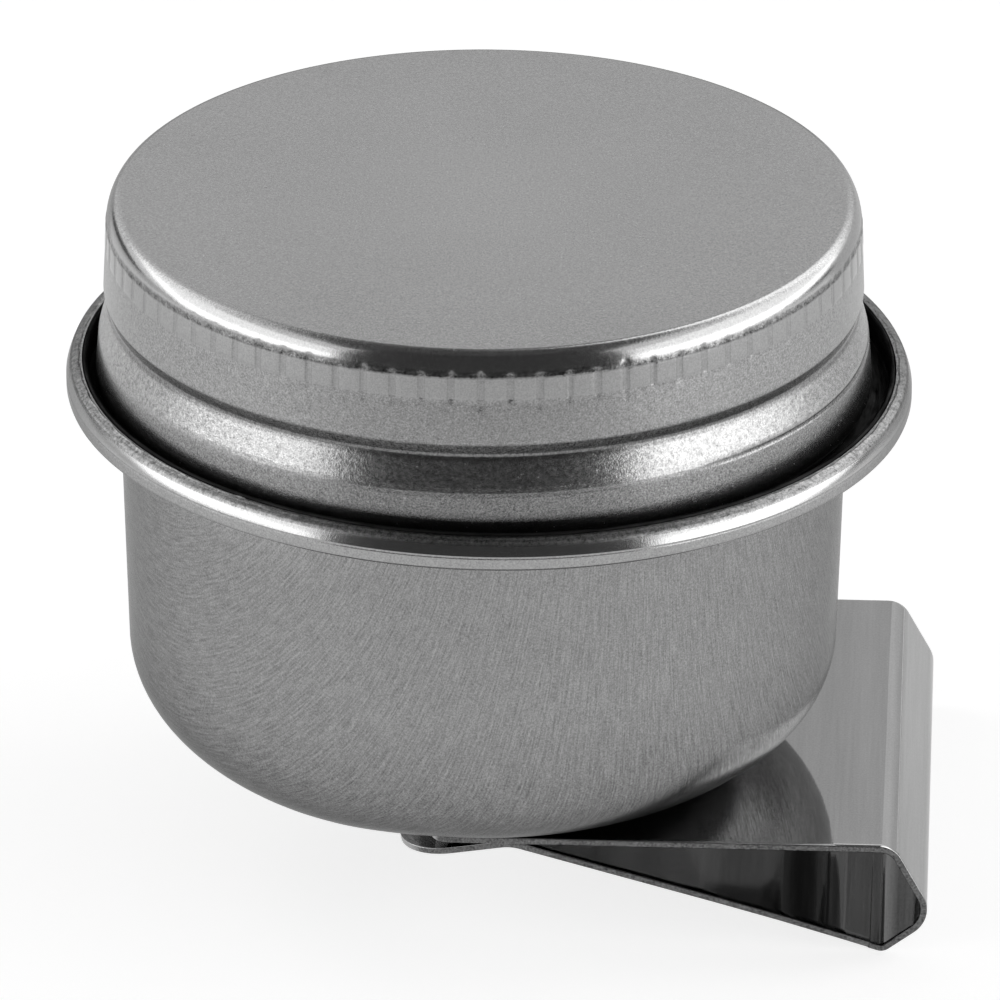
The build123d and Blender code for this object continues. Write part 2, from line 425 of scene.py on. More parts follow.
def lidSteel():
    material, tree, shader, where = newMaterial("pressedLidSteel")
    x, y, z = addNode(tree, "SeparateXYZ", i0=where).outputs
    turn = maths(tree, "ARCTAN2", y, x)
    # how far from a notch's middle, as a share of the spacing
    place = total(tree, scaled(tree, turn, lid["notches"] / (2 * math.pi)), 0.5)
    offNotch = maths(tree, "ABSOLUTE", total(tree, maths(tree, "FRACT", place), -0.5))
    besideNotch = ramp(tree, offNotch, 0.075, 0.115)
    notchSide = scaled(tree, besideNotch, ramp(tree, offNotch, 0.11, 0.16, 1.0, 0.0))
    toGroove = maths(tree, "COSINE", total(tree, turn, -math.radians(lid["sideGrooveAt"])))
    fine = noiseAt(tree, where, fineGrain, 2.0, 0.6)
    grain = noiseAt(tree, where, coarseGrain, 2.0, 0.6)
    cloud = noiseAt(tree, where, 110, 2.0, 0.5)
    speck = ramp(tree, noiseAt(tree, where, 2600, 0.0), 0.84, 0.87)
    zones = {name: between(tree, z, *ends) for name, ends in lid["zones"].items()}
    zones["pads"] = scaled(tree, zones["padBand"], besideNotch)
    # painted shade beside each notch and along the rolled line on the flare
    zones["notchSide"] = scaled(tree, zones["padBand"], notchSide)
    zones["sideLine"] = scaled(tree, zones["sideLine"], ramp(tree, toGroove, 0.86, 0.96))
    zones["speck"] = scaled(tree, zones["top"], speck)
    polishedAndHighlighted = maths(tree, "MAXIMUM", zones["padBand"], zones["shoulder"])
    coarse = zones["coarse"] = without(tree, scaled(tree, polishedAndHighlighted, 0.6))
    rough = total(tree, lid["roughness"], spread(tree, grain, 0.10), scaled(tree, polishedAndHighlighted, -0.09))
    # the level adds the zones' painted highlight and painted shade to the grain
    level = total(tree, lid["level"], spread(tree, fine, weighted(tree, zones, lid["fine"])),
                  spread(tree, grain, weighted(tree, zones, lid["grain"])),
                  spread(tree, cloud, lid["cloud"]), weighted(tree, zones, lid["shades"]))
    bumpOn = total(tree, coarse, scaled(tree, zones["flare"], 0.5))
    height = scaled(tree, total(tree, fine, grain), bumpOn)
    finishSteel(tree, shader, lid["tone"], level, rough, bumpFrom(tree, height, 0.6, 0.00001))
    # the flat top is duller at low angles
    tint = greyMix(tree, tone(1), tone(lid["topTint"]), zones["top"])
    tree.links.new(tint, shader.inputs["Specular Tint"])
    return material


lidPiece.data.materials.append(lidSteel())
print("lid made")


# liner: a soft disc with the neck's print in it
liner = dict(radius=18.45, thick=1.0, gap=0.002, edge=0.16, printR=17.9, printDepth=0.07,
             printHalf=0.28, unevenness=0.012, roughness=0.72, dark=(0.50, 0.49, 0.46),
             light=(0.72, 0.71, 0.68))
linerHighZ = lid["topZ"] - lid["sheet"] - liner["gap"]
linerLowZ = lid["topZ"] - lid["sheet"] - liner["thick"]


def linerRelief(angle, radius, height, side):
    under = height < linerLowZ + 0.1
    printed = liner["printDepth"] * np.exp(-((radius - liner["printR"]) / liner["printHalf"]) ** 2)
    soft = np.maximum(liner["unevenness"] * waves(9, angle, radius, (4, 7, 11), 0.8), 0)
    return np.zeros_like(radius), np.where(under, printed + soft, 0)


edge = liner["edge"]
flatEnd = liner["radius"] - edge
linerRows = joined(
    fillRuns([np.array([0, linerHighZ]), np.array([flatEnd, linerHighZ])], 1.2),
    arcPoints((flatEnd, linerHighZ - edge), edge, edge, 90, -90, 18),
    arcPoints((flatEnd, linerLowZ + edge), edge, edge, 0, -90, 18),
    fillRuns([np.array([flatEnd, linerLowZ]), np.array([0, linerLowZ])], 0.25))
linerPiece = spinMesh("lidLiner", np.array(linerRows), np.ones(len(linerRows)),
                      np.linspace(0, 2 * math.pi, 288, endpoint=False), False, linerRelief)
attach(linerPiece, "liner")
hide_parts("lid_liner")


def linerFoam():
    material, tree, shader, where = newMaterial("linerFoam")
    cells = addNode(tree, "TexVoronoi", {"feature": "SMOOTH_F1"}, Scale=2600.0, Vector=where)
    cloud = noiseAt(tree, where, 160, 3.0, 0.6)
    x, y = addNode(tree, "SeparateXYZ", i0=where).outputs[:2]
    offPrint = maths(tree, "ABSOLUTE", total(tree, fromAxis(tree, x, y), -liner["printR"] * mm))
    printed = ramp(tree, offPrint, 0.1 * mm, 0.5 * mm, 1.0, 0.0)
    level = total(tree, cloud, scaled(tree, printed, -0.35))
    colour = greyMix(tree, liner["dark"], liner["light"], level)
    tree.links.new(colour, shader.inputs["Base Color"])
    tree.links.new(bumpFrom(tree, cells.outputs["Distance"], 0.5, 0.00003), shader.inputs["Normal"])
    shader.inputs["Roughness"].default_value = liner["roughness"]
    return material


linerPiece.data.materials.append(linerFoam())
print("liner made")


# neck: a threaded collar on a flange that the bowl's rim holds
neck = dict(
    sheet=0.25, wallR=18.75, topZ=30.0, lipRoll=0.40, flangeR=21.17, flangeTopZ=22.14,
    gutterZ=20.12, bowlSheet=0.35, foldBend=0.19, footBend=0.5, threadLowZ=22.6,
    threadTurns=2.4, crest=0.33,
    # steel: the gutter at its foot is dull, and painted darker with a dimmer specular tint, painted
    # shade in the recess
    tone=0.34, turnStretch=0.002, gutterR=(19.2, 19.6), gutterShade=-0.46, gutterRough=0.35,
    gutterTint=0.1,
)


def neckLine():
    half = neck["sheet"] / 2
    flangeZ = neck["gutterZ"] + neck["bowlSheet"] + half
    lipZ = neck["topZ"] - half - neck["lipRoll"]
    wall = bentLine(
        [(neck["flangeR"] - half, neck["flangeTopZ"]), (neck["flangeR"] - half, flangeZ),
         (neck["wallR"] - half, flangeZ), (neck["wallR"] - half, lipZ)],
        [neck["foldBend"], neck["footBend"]], longest=0.12)
    lip = arcPoints((neck["wallR"] - half - neck["lipRoll"], lipZ), neck["lipRoll"],
                    neck["lipRoll"], 0, 200, step=12)
    return joined(wall, lip)


# the crimped rim sits a little off centre and lower on one side, as in the photograph
rim = dict(shiftX=0.29, tilt=0.85)


def rimShift(angle, radius, share):
    drop = -math.tan(math.radians(rim["tilt"])) * radius * np.cos(angle)
    return rim["shiftX"] * np.cos(angle) * share, drop * share


def neckRelief(angle, radius, height, side):
    onWall = (radius > 18.3) & (radius < 18.9) & (height > 22) & (height < 29.3)
    ridge = threadRidge(angle, height, neck["threadLowZ"], neck["threadTurns"], 0, neck["crest"])
    inner = radius < neck["wallR"] - neck["sheet"] / 2
    shift, sink = rimShift(angle, radius, smoothStep(19.2, 20.6, radius) * (height < 23))
    return np.where(onWall, ridge * np.where(inner, 0.6, 1), 0) + shift, sink


rows, sides = sheetOutline(neckLine(), neck["sheet"], True, True)
neckPiece = spinMesh("threadedNeck", rows, sides, np.linspace(0, 2 * math.pi, 480, endpoint=False),
                     True, neckRelief)
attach(neckPiece, "cup")
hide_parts("neck_ring")


def neckSteel():
    material, tree, shader, where = newMaterial("rolledNeckSteel")
    x, y, z = addNode(tree, "SeparateXYZ", i0=where).outputs
    flat = fromAxis(tree, x, y)
    # grain drawn out round the axis
    around = scaled(tree, maths(tree, "ARCTAN2", y, x), neck["turnStretch"])
    grainPlace = addNode(tree, "CombineXYZ", X=around, Y=z, Z=flat).outputs[0]
    turned = noiseAt(tree, grainPlace, 7000, 2.0, 0.6)
    cloud = noiseAt(tree, where, 220, 3.0, 0.6)
    gutter = ramp(tree, flat, neck["gutterR"][0] * mm, neck["gutterR"][1] * mm)
    rough = total(tree, 0.13, scaled(tree, cloud, 0.18), scaled(tree, gutter, neck["gutterRough"]))
    # painted shade in the gutter
    level = total(tree, 0.5, spread(tree, turned, 0.10), spread(tree, cloud, 0.06),
                  scaled(tree, gutter, neck["gutterShade"]))
    finishSteel(tree, shader, neck["tone"], level, rough, bumpFrom(tree, turned, 0.35, 0.000006))
    tint = greyMix(tree, tone(1), tone(neck["gutterTint"]), gutter)
    tree.links.new(tint, shader.inputs["Specular Tint"])
    return material


neckPiece.data.materials.append(neckSteel())
print("neck made")


# bowl: drawn steel, its top edge bent out and folded over into a bead
bowl = dict(
    sheet=0.35, flatR=9.0, cornerHeight=6.7, wallLowR=18.62, wallTopR=19.0, gutterZ=20.12,
    gutterBend=0.5, beadR=22.04, foldZ=22.16, shoulderZ=21.54, skirtLowZ=20.50, innerR=21.17,
    foldBend=0.19, shoulderBend=0.72,
    # the bead's round top, its crisp lower edge, and the ragged seam with a burr at the left
    roundR=0.86, roundZ=21.25, lineDepth=0.03, coneZ=21.9, coneLean=14, coneBend=0.208,
    seamR=21.38, seamStep=0.08,
    seamTeeth=((190, 0.30), (277, 0.35), (341, 0.25), (61, 0.5), (23, 0.3)),
    burrAt=-145, burrHalf=22, burrRise=0.06, blobAt=-122.6, blobRise=0.07,
    # uneven drawing: the lower corner is flatter at the front and fuller at the left
    flatterFront=-0.85, frontAt=-66, fullerLeft=0.45, leftAt=-150, unevenness=0.010, ripple=0.006,
    weldX=2.5, weldHalfX=3.0, weldHalfY=4.0, weldR=1.1, weldDepth=0.06, weldRing=0.02,
    # steel: zones on the rim, with low and high ends and their softness, and their shades
    grainTurn=62.5, streakLong=0.07, streakScale=6800, tone=0.345, roughness=0.24, tint=0.6,
    zones=dict(pittedAndShaded=(21.78, 30, 0.24), polishedAndHighlighted=(21.25, 21.75, 0.03), band=(20.4, 21.25, 0.03)),
    # shades: darker towards the bottom is painted shade; the bead's pitted top is darker from its
    # pits and from painted shade; the bead's polished round and its band are painted lighter,
    # painted highlight
    shades=dict(low=-0.21, pittedAndShaded=-0.12, sunk=-0.08, polishedAndHighlighted=0.17, band=0.13), lowTo=11.0,
)


def bowlLine():
    half = bowl["sheet"] / 2
    flat = fillRuns([np.array([0, half]), np.array([bowl["flatR"], half])], longest=0.22)
    corner = arcPoints((bowl["flatR"], bowl["cornerHeight"]),
                       bowl["wallLowR"] - bowl["flatR"] - half, bowl["cornerHeight"] - half,
                       270, 90, step=3)
    bead, fold = bowl["beadR"] - half, bowl["innerR"] + half
    gutterZ = bowl["gutterZ"] + half
    wall = bentLine(
        [(bowl["wallLowR"] - half, bowl["cornerHeight"]), (bowl["wallTopR"] - half, gutterZ),
         (fold, gutterZ), (fold, bowl["foldZ"]), (bead, bowl["shoulderZ"]),
         (bead, bowl["skirtLowZ"])],
        [bowl["gutterBend"], bowl["foldBend"], bowl["foldBend"], bowl["shoulderBend"]],
        arcStep=4, longest=0.9)
    # close points over the bead, and three at the crisp edge
    fine = []
    for a, b in zip(wall, wall[1:]):
        count = 12 if a[0] > 21.5 and np.linalg.norm(b - a) > 0.3 else 1
        fine += [a + (b - a) * k / count for k in range(count)]
    creases = [np.array([bead, bowl["roundZ"] + d]) for d in (0.012, 0.002, -0.012)]
    fine = [p for p in fine + [wall[-1]]
            if p[0] < bead - 1e-6 or abs(p[1] - bowl["roundZ"]) > 0.02]
    rim = [p for p in fine if p[0] >= bead - 1e-6]
    rest = [p for p in fine if p[0] < bead - 1e-6]
    return joined(flat, corner, rest + sorted(rim + creases, key=lambda p: -p[1]))


# how far an angle is inside a window, 0 to 1, with soft sides; degrees
def window(angle, centre, half, soft):
    off = np.abs((np.degrees(angle) - centre + 180) % 360 - 180)
    return 1 - smoothStep(half - soft / 2, half + soft / 2, off)


def bowlRelief(angle, radius, height, side):
    rng = np.random.default_rng(77)
    bead = (side <= 0) & (radius > bowl["innerR"] + 0.01) & (height > bowl["skirtLowZ"] - 0.1)
    tooth = np.zeros_like(angle)
    calm = 1 - 0.75 * window(angle, bowl["burrAt"], 24, 8)
    for lobe, share in bowl["seamTeeth"]:
        wave = np.cos(lobe * angle + rng.uniform(0, 6.283))
        tooth += share * wave * (calm if lobe > 100 else 1)
    # the top of the crimp is one round face, up to a ragged seam beside the neck's edge
    across = np.clip(radius - (bowl["beadR"] - bowl["roundR"]), 0, bowl["roundR"])
    full = bowl["roundZ"] + np.sqrt(np.maximum(bowl["roundR"] ** 2 - across ** 2, 0))
    fill = np.clip(full - height, 0, 0.5)
    fill = fill * smoothStep(bowl["innerR"], bowl["innerR"] + 0.05, radius)
    fill = fill * (height > bowl["roundZ"] + 0.3)
    fromSeam = radius - (bowl["seamR"] + 0.07 * tooth)
    step = -bowl["seamStep"] * (1 - smoothStep(-0.03, 0.03, fromSeam))
    lump = 0.03 * tooth * np.exp(-(fromSeam / 0.10) ** 2)
    # a thin burr stands on the seam at the left, and ends at a small blob
    burr = bowl["burrRise"] * window(angle, bowl["burrAt"], bowl["burrHalf"], 3)
    burr = burr + bowl["blobRise"] * window(angle, bowl["blobAt"], 0.8, 0.8)
    lump = lump + burr * np.exp(-(fromSeam / 0.04) ** 2)
    dz = np.where(bead & (height > 21.55), fill + step + lump, 0)
    # under it the round runs straight to a crisp edge above the band
    climb = height - bowl["roundZ"]
    lean = math.tan(math.radians(bowl["coneLean"]))
    cone = bowl["beadR"] - lean * climb - bowl["coneBend"] * climb ** 2
    outer = bead & (radius > 21.7)
    onCone = outer & (height > bowl["roundZ"]) & (height < bowl["coneZ"])
    line = -bowl["lineDepth"] * np.exp(-((climb + 0.05) / 0.035) ** 2)
    dr = np.where(onCone, cone - radius, 0) + np.where(outer & ~onCone, line, 0)
    slow = waves(3, angle, height, (2, 3, 5), 0.25) * smoothStep(0.5, 7, height)
    ripple = waves(8, angle, height, (11, 17, 23), 0.6) * (radius > 21.3)
    uneven = bowl["unevenness"] * slow + bowl["ripple"] * ripple
    flat, wide = bowl["flatR"], bowl["wallLowR"]
    lower = np.where(radius < flat, radius / flat, 1 - (radius - flat) / (wide - flat))
    lower = np.clip(lower, 0, 1) * (height < bowl["cornerHeight"] + 0.5)
    dent = bowl["flatterFront"] * window(angle, bowl["frontAt"], 40, 24)
    dent = dent + bowl["fullerLeft"] * window(angle, bowl["leftAt"], 32, 24)
    shift, sink = rimShift(angle, radius, smoothStep(18.4, 20.0, height))
    dr = dr + np.where(height > 0.5, uneven, 0) + dent * lower + shift
    x, y = radius * np.cos(angle) - bowl["weldX"], radius * np.sin(angle)
    near = np.hypot(np.abs(x) - bowl["weldHalfX"], np.abs(y) - bowl["weldHalfY"])
    mark = 1 - smoothStep(bowl["weldR"] - 0.3, bowl["weldR"], near)
    ring = np.exp(-((near - bowl["weldR"] - 0.05) / 0.18) ** 2)
    inside = (side < 0) & (height < 1)
    weld = bowl["weldRing"] * ring - bowl["weldDepth"] * mark
    return dr, dz + np.where(inside, weld, 0) + sink


rows, sides = sheetOutline(bowlLine(), bowl["sheet"], False, True)
bowlPiece = spinMesh("drawnBowl", rows, sides, np.linspace(0, 2 * math.pi, 960, endpoint=False),
                     False, bowlRelief)
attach(bowlPiece, "cup")
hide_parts("cup_bowl")


def bowlSteel():
    material, tree, shader, where = newMaterial("drawnBowlSteel")
    x, y, z = addNode(tree, "SeparateXYZ", i0=where).outputs
    flat = fromAxis(tree, x, y)
    # places on the blank before drawing, so the sheet's rolled grain runs up the wall on one side
    turned = total(tree, maths(tree, "ARCTAN2", y, x), math.radians(bowl["grainTurn"]))
    reach = total(tree, flat, z)
    along = scaled(tree, reach, maths(tree, "COSINE", turned))
    blank = addNode(tree, "CombineXYZ", X=scaled(tree, along, bowl["streakLong"]),
                    Y=scaled(tree, reach, maths(tree, "SINE", turned))).outputs[0]
    streak = noiseAt(tree, blank, bowl["streakScale"], 3.0, 0.7)
    fine = noiseAt(tree, where, fineGrain, 2.0, 0.6)
    grain = noiseAt(tree, where, coarseGrain, 2.0, 0.6)
    cloud = noiseAt(tree, where, 150, 3.0, 0.55)
    pits = ramp(tree, noiseAt(tree, where, 7000, 1.0, 0.5), 0.54, 0.66)
    # the rim's own height, without its tilt
    rimZ = total(tree, z, scaled(tree, x, math.tan(math.radians(rim["tilt"]))))
    nearRim = ramp(tree, z, (19.6 + baseLift) * mm, (20.1 + baseLift) * mm)
    onRim = ramp(tree, flat, 20.9 * mm, 21.1 * mm)
    # the rim's zones carry painted highlight and painted shade beside their pits and polish
    zones = {name: scaled(tree, between(tree, rimZ, *ends), onRim)
             for name, ends in bowl["zones"].items()}
    pittedAndShaded, polishedAndHighlighted = zones["pittedAndShaded"], zones["polishedAndHighlighted"]
    sunk = zones["sunk"] = scaled(tree, pits, pittedAndShaded)
    # darker towards the bottom: painted shade
    zones["low"] = ramp(tree, z, 0.0, (bowl["lowTo"] + baseLift) * mm, 1.0, 0.0)
    streakOn = without(tree, scaled(tree, nearRim, 0.8))
    coarse = without(tree, scaled(tree, polishedAndHighlighted, 0.5))
    rough = total(tree, bowl["roughness"], spread(tree, cloud, 0.10), scaled(tree, nearRim, -0.04),
                  scaled(tree, polishedAndHighlighted, -0.03), scaled(tree, pittedAndShaded, 0.14))
    level = total(tree, 0.5, spread(tree, streak, scaled(tree, streakOn, 0.62)),
                  spread(tree, fine, scaled(tree, coarse, 0.65)),
                  spread(tree, grain, total(tree, 0.12, scaled(tree, pittedAndShaded, 0.6))),
                  spread(tree, cloud, 0.06), weighted(tree, zones, bowl["shades"]))
    fineBump = scaled(tree, total(tree, coarse, pittedAndShaded), 0.8)
    height = total(tree, scaled(tree, scaled(tree, streak, streakOn), 1.9),
                   scaled(tree, fine, fineBump), scaled(tree, grain, 0.2), scaled(tree, sunk, -0.4))
    finishSteel(tree, shader, bowl["tone"], level, rough, bumpFrom(tree, height, 0.6, 0.00001))
    shader.inputs["Specular Tint"].default_value = (*tone(bowl["tint"]), 1)
    return material


bowlPiece.data.materials.append(bowlSteel())
print("bowl made")


# clip: one bent strip, parted past the heel where the lower leaf flexes
clip = dict(
    width=29.0, shift=2.7, endX=-2.2, bendX=21.86, outer=(24.0, -3.71), heel=(21.46, -5.65),
    bow=(16.1, -4.0), pinch=(2.0, -0.19), lip=(-3.9, -1.1), plateBend=1.12, outerBend=1.5,
    heelBend=0.48, leafBow=200.0, pinchBend=2.5, plateCorner=1.0, lipCorner=2.8, taper=0.4,
    parting=0.75, edge=0.05,
    tone=0.54, roughness=0.05, rollStretch=(1.0, 0.03, 1.0),
    # shades: painted shade inside the jaw and on the outer bend, and a painted reflection on the
    # lip's upper face
    shades=dict(cut=-0.34, inJaw=-0.13, deepJaw=-0.14, outer=-0.19, paintedLipLight=0.38),
)


# a strip along a middle line in the XZ plane: halfWidth(place) gives its half width, mm
def stripMesh(name, line, halfWidth, across, closeEnd, relief=None):
    line = np.array(line)
    normals = -lineNormals(line)
    half, edge = strip / 2, clip["edge"]
    bend = np.radians([0, 30, 60, 90])
    flatShare = np.linspace(-1, 1, across)
    loops = []
    last = len(line) - 1
    for index, (p, n) in enumerate(zip(line, normals)):
        atEnd = (closeEnd[0] and index == 0) or (closeEnd[1] and index == last)
        inset = edge if atEnd else 0
        depth, wide = half - inset, halfWidth(p) - inset
        section = [(s * (wide - edge), depth) for s in flatShare]
        section += [(wide - edge + edge * math.sin(a), depth - edge + edge * math.cos(a))
                    for a in bend[1:]]
        section += [(wide - edge + edge * math.cos(a), -(depth - edge) - edge * math.sin(a))
                    for a in bend[:-1]]
        section += [(-s * (wide - edge), -depth) for s in flatShare]
        section += [(-(wide - edge) - edge * math.sin(a), -(depth - edge) - edge * math.cos(a))
                    for a in bend[1:]]
        section += [(-(wide - edge) - edge * math.cos(a), depth - edge + edge * math.sin(a))
                    for a in bend[:-1]]
        loop = []
        for y, d in section:
            lift = relief(p[0], y, d) if relief else 0
            loop.append((p[0] + n[0] * (d + lift), y + clip["shift"], p[1] + n[1] * (d + lift)))
        loops.append(loop)
    points = np.array(loops).reshape(-1, 3) * mm
    around = len(loops[0])
    faces = []
    for start in range(0, last * around, around):
        for j in range(around):
            k = (j + 1) % around
            faces.append((start + j, start + k, start + around + k, start + around + j))
    caps = [range(around), range(last * around, (last + 1) * around)[::-1]]
    return gridObject(name, points, np.array(faces), caps)


def partingPoint():
    heel, bow = np.array(clip["heel"]), np.array(clip["bow"])
    return heel + (bow - heel) / np.linalg.norm(bow - heel) * clip["parting"]


def plateHalfWidth(p):
    inward = p[0] - clip["endX"]
    c = clip["plateCorner"]
    if p[1] < 0 or inward >= c:
        return clip["width"] / 2
    return clip["width"] / 2 - c + math.sqrt(max(0, c * c - (c - inward) ** 2))


def leafHalfWidth(p):
    c = clip["lipCorner"]
    share = (clip["outer"][0] - p[0]) / (clip["outer"][0] - clip["pinch"][0])
    half = clip["width"] / 2 - clip["taper"] * min(1, max(0, share))
    inward = p[0] - clip["lip"][0]
    if inward >= c:
        return half
    return half - c + math.sqrt(max(0, c * c - (c - inward) ** 2))


def weldMarks(x, y, d):
    near = math.hypot(abs(x - bowl["weldX"]) - bowl["weldHalfX"],
                      abs(y + clip["shift"]) - bowl["weldHalfY"])
    if d > 0 or near > 1.6:
        return 0
    mark = 1 - float(smoothStep(bowl["weldR"] - 0.3, bowl["weldR"], near))
    ring = math.exp(-((near - bowl["weldR"] - 0.05) / 0.18) ** 2)
    return bowl["weldDepth"] * mark - bowl["weldRing"] * ring


# the same line with close points over the rounded corners at its start
def roundedEnd(line, endX, corner):
    fine = [endX + corner * (1 - math.cos(a)) for a in np.linspace(0, math.pi / 2, 14)[1:]]
    fine = [0.6 * endX + 0.4 * fine[0]] + fine
    start, rest = line[0], [p for p in line if abs(p[0] - endX) > corner + 0.05]
    slope = (rest[0] - start) / (rest[0][0] - start[0])
    return [start] + [start + slope * (x - start[0]) for x in fine] + rest


parting = tuple(partingPoint())
plateLine = bentLine([(clip["endX"], strip / 2), (clip["bendX"], strip / 2), clip["outer"],
                      clip["heel"], parting],
                     [clip["plateBend"], clip["outerBend"], clip["heelBend"]],
                     arcStep=6, longest=0.3)
plateLine = roundedEnd(plateLine, clip["endX"], clip["plateCorner"])
platePiece = stripMesh("clipTopPlate", plateLine, plateHalfWidth, 120, (True, False), weldMarks)
leafLine = bentLine([parting, clip["bow"], clip["pinch"], clip["lip"]],
                    [clip["leafBow"], clip["pinchBend"]], arcStep=1.5, longest=0.5)
leafLine = roundedEnd(leafLine[::-1], clip["lip"][0], clip["lipCorner"])[::-1]
leafPiece = stripMesh("clipSpringLeaf", leafLine, leafHalfWidth, 60, (False, True))
for piece, body, node in ((platePiece, "cup", "clip_plate"), (leafPiece, "clip_leaf", "clip_leaf")):
    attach(piece, body)
    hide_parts(node)


def clipSteel():
    material, tree, shader, where = newMaterial("polishedClipSteel")
    stretched = addNode(tree, "Mapping", {"vector_type": "POINT"}, Vector=where,
                        Scale=clip["rollStretch"]).outputs[0]
    rolled = noiseAt(tree, stretched, 4500, 3.0, 0.6)
    bands = noiseAt(tree, stretched, 420, 2.0, 0.5)
    slow = noiseAt(tree, where, 60, 1.0, 0.4)
    grain = noiseAt(tree, where, 9000, 2.0, 0.6)
    normal = addNode(tree, "TexCoord").outputs["Normal"]
    faceX, faceY, faceZ = addNode(tree, "SeparateXYZ", i0=normal).outputs
    x, y, z = addNode(tree, "SeparateXYZ", i0=where).outputs
    cut = ramp(tree, maths(tree, "ABSOLUTE", faceY), 0.6, 0.9)
    # the jaw's inner faces are painted darker than the outer ones, painted shade between the plate
    # and the leaf, darkest deep in the jaw
    leafFace = scaled(tree, ramp(tree, faceZ, 0.1, 0.4),
                      ramp(tree, z, -0.2 * mm, -0.05 * mm, 1.0, 0.0))
    leafFace = scaled(tree, leafFace, ramp(tree, x, 21.9 * mm, 22.3 * mm, 1.0, 0.0))
    plateFace = scaled(tree, ramp(tree, faceZ, -0.4, -0.1, 1.0, 0.0),
                       ramp(tree, z, -1.2 * mm, -0.3 * mm))
    backFace = ramp(tree, faceX, -0.6, -0.3, 1.0, 0.0)
    inside = maths(tree, "MAXIMUM", backFace, maths(tree, "MAXIMUM", leafFace, plateFace))
    inJaw = scaled(tree, inside, ramp(tree, x, 2.5 * mm, 4.0 * mm))
    # the lip's upward faces are painted lighter, a painted reflection on the lip
    onLip = ramp(tree, x, 0.5 * mm, 2.5 * mm, 1.0, 0.0)
    zones = dict(
        cut=cut, inJaw=inJaw,
        deepJaw=scaled(tree, inJaw, ramp(tree, z, -4.6 * mm, -3.4 * mm, 1.0, 0.0)),
        # painted shade on the outer bend
        outer=scaled(tree, ramp(tree, x, 21.5 * mm, 22.3 * mm), without(tree, cut)),
        paintedLipLight=scaled(tree, onLip, ramp(tree, faceZ, 0.3, 0.6)))
    rough = total(tree, clip["roughness"], spread(tree, bands, 0.05), scaled(tree, cut, 0.34))
    level = total(tree, 0.5, spread(tree, rolled, 0.12), spread(tree, bands, 0.16),
                  spread(tree, grain, total(tree, 0.16, scaled(tree, cut, 0.3))),
                  weighted(tree, zones, clip["shades"]))
    wavy = bumpFrom(tree, slow, 0.3, 0.00008)
    height = total(tree, rolled, scaled(tree, grain, 0.3), scaled(tree, bands, 2.0))
    finishSteel(tree, shader, clip["tone"], level, rough,
                bumpFrom(tree, height, 0.3, 0.000003, wavy))
    return material


clipFinish = clipSteel()
platePiece.data.materials.append(clipFinish)
leafPiece.data.materials.append(clipFinish)
print("clip made")


# studio: a pale floor, soft boxes at both sides and dark cards between them; each column of a box
# is an azimuth, its elevations and their distances
studio = dict(
    azimuth=2.54, centre=(0, 0, 0.0304), floorZ=-0.00579, floorR=3.0,
    floorTone=0.62, floorGlow=0.40, cameraGlow=0.27, worldDiffuse=0.24,
    boxStrength=2.7, leftStrength=2.5, upperStrength=1.7, backBox=2.4,
    rightBox=((43, (-10, 8, 22), (0.20, 0.22, 0.24)), (95, (-4, 10, 40), (0.26,) * 3),
              (125, (8, 14, 52), (0.28,) * 3)),
    leftBox=((-43, (-3, 8, 22), (0.24,) * 3), (-95, (-3, 10, 36), (0.26,) * 3),
             (-139, (27, 32, 52), (0.30,) * 3)),
    rearBox=((125, (8, 52), (0.28,) * 2), (150, (26, 62), (0.30,) * 2),
             (167, (38, 62), (0.30,) * 2)),
    frontShade=0.06, frontRises=(-14, -8, 0, 15, 30, 45, 58), frontFar=0.19,
    topShade=0.10, topZ=0.36, topRows=((-0.30, 0.30), (0.0, 0.20), (0.16, 0.12), (0.52, 0.06)),
    gapShade=0.10, gapFar=0.45, leftGap=((-118, 0), (-130, 6), (-148, 6)),
    rightGap=((108, -1), (120, 2), (132, 5), (142, 4)),
    backShade=0.47, cornerShade=0.62,
    backY=0.062, backX=(-0.060, 0.0285, 0.110), backZ=(0.002, 0.040),
)


# a point seen from the lid's shoulder: azimuth from the camera's side, elevation, distance
def seenAt(azimuth, elevation, distance):
    a, e = math.radians(azimuth + studio["azimuth"]), math.radians(elevation)
    out = Vector((math.sin(a) * math.cos(e), -math.cos(a) * math.cos(e), math.sin(e)))
    point = Vector(studio["centre"]) + out * distance
    point.z = max(point.z, studio["floorZ"] + 0.0004)
    return point


def plainEmission(name, level):
    material = bpy.data.materials.new(name)
    material.use_nodes = True
    tree = material.node_tree
    tree.nodes.clear()
    glow = addNode(tree, "Emission", Strength=level)
    tree.links.new(glow.outputs[0], addNode(tree, "OutputMaterial").inputs[0])
    return material


def card(name, grid, level, isLight=False):
    wide = len(grid[0])
    faces = [(i * wide + j, i * wide + j + 1, (i + 1) * wide + j + 1, (i + 1) * wide + j)
             for i in range(len(grid) - 1) for j in range(wide - 1)]
    mesh = bpy.data.meshes.new(name)
    mesh.from_pydata([tuple(p) for line in grid for p in line], [], faces)
    piece = bpy.data.objects.new(name, mesh)
    bpy.context.scene.collection.objects.link(piece)
    mesh.materials.append(plainEmission(name, level))
    piece.visible_camera = False
    piece.visible_shadow = False
    piece.visible_diffuse = isLight
    piece.visible_transmission = False


# a soft box from the first to the last of its columns' points
def softBox(name, columns, first, last, level, isLight=True):
    card(name, [[seenAt(azimuth, elevations[k], distances[k]) for k in range(first, last + 1)]
                for azimuth, elevations, distances in columns], level, isLight)


# a card low behind, from the floor up to each column's height
def gapCard(name, columns):
    card(name, [[seenAt(azimuth, elevation, studio["gapFar"]) for elevation in (-4, high)]
                for azimuth, high in columns], studio["gapShade"])


def backCard(name, ends, level):
    card(name, [[Vector((x, studio["backY"], z)) for z in studio["backZ"]] for x in ends], level)


